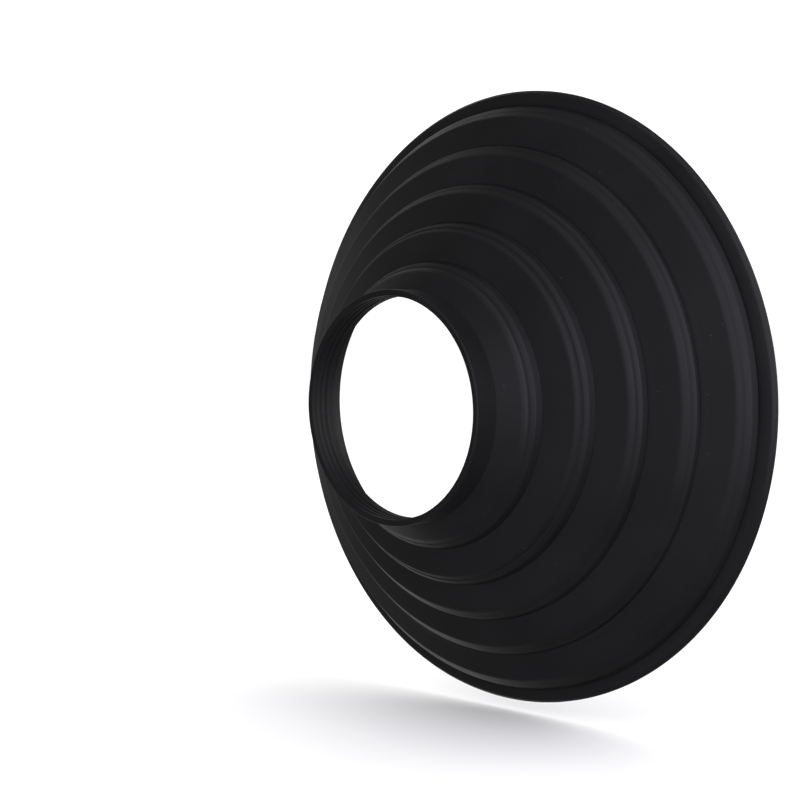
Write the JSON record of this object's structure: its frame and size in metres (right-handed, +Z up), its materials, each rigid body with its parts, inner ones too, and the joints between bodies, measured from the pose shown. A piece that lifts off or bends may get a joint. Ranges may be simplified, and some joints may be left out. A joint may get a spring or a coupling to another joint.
{
  "type": "lens hood",
  "caption": "Collapsible black silicone lens hood: a stepped cone of stiff rings and thin webs that grips a lens barrel and folds back.",
  "frame": {"origin": "centre of the collar's rear opening, on the optical axis, where the lens barrel enters", "axes": "+Y along the optical axis towards the mouth, +Z up, +X to the right seen from behind the camera"},
  "size_m": [0.21, 0.0643, 0.21],
  "materials": {
    "ring_silicone": "matt moulded silicone, slightly polished on the ridges, with fine dust",
    "web_silicone": "matt moulded silicone, fine eroded mould texture"
  },
  "bodies": {
    "collar": {"collar_cuff": "ring_silicone", "neck": "ring_silicone", "fold_ring_1": "ring_silicone"},
    "stage_2": {"fold_web_1": "web_silicone", "fold_ring_2": "ring_silicone"},
    "stage_3": {"fold_web_2": "web_silicone", "fold_ring_3": "ring_silicone"},
    "stage_4": {"fold_web_3": "web_silicone", "fold_ring_4": "ring_silicone"},
    "mouth": {"fold_web_4": "web_silicone", "fold_ring_5": "ring_silicone", "rim_flange": "web_silicone", "rim_bead": "ring_silicone"}
  },
  "joints": [
    {"name": "fold_1", "type": "slide", "parent": "collar", "child": "stage_2", "axis": [0, -1, 0], "range_m": [0, 0.0074]},
    {"name": "fold_2", "type": "slide", "parent": "stage_2", "child": "stage_3", "axis": [0, -1, 0], "range_m": [0, 0.0074]},
    {"name": "fold_3", "type": "slide", "parent": "stage_3", "child": "stage_4", "axis": [0, -1, 0], "range_m": [0, 0.0074]},
    {"name": "fold_4", "type": "slide", "parent": "stage_4", "child": "mouth", "axis": [0, -1, 0], "range_m": [0, 0.0074]}
  ]
}
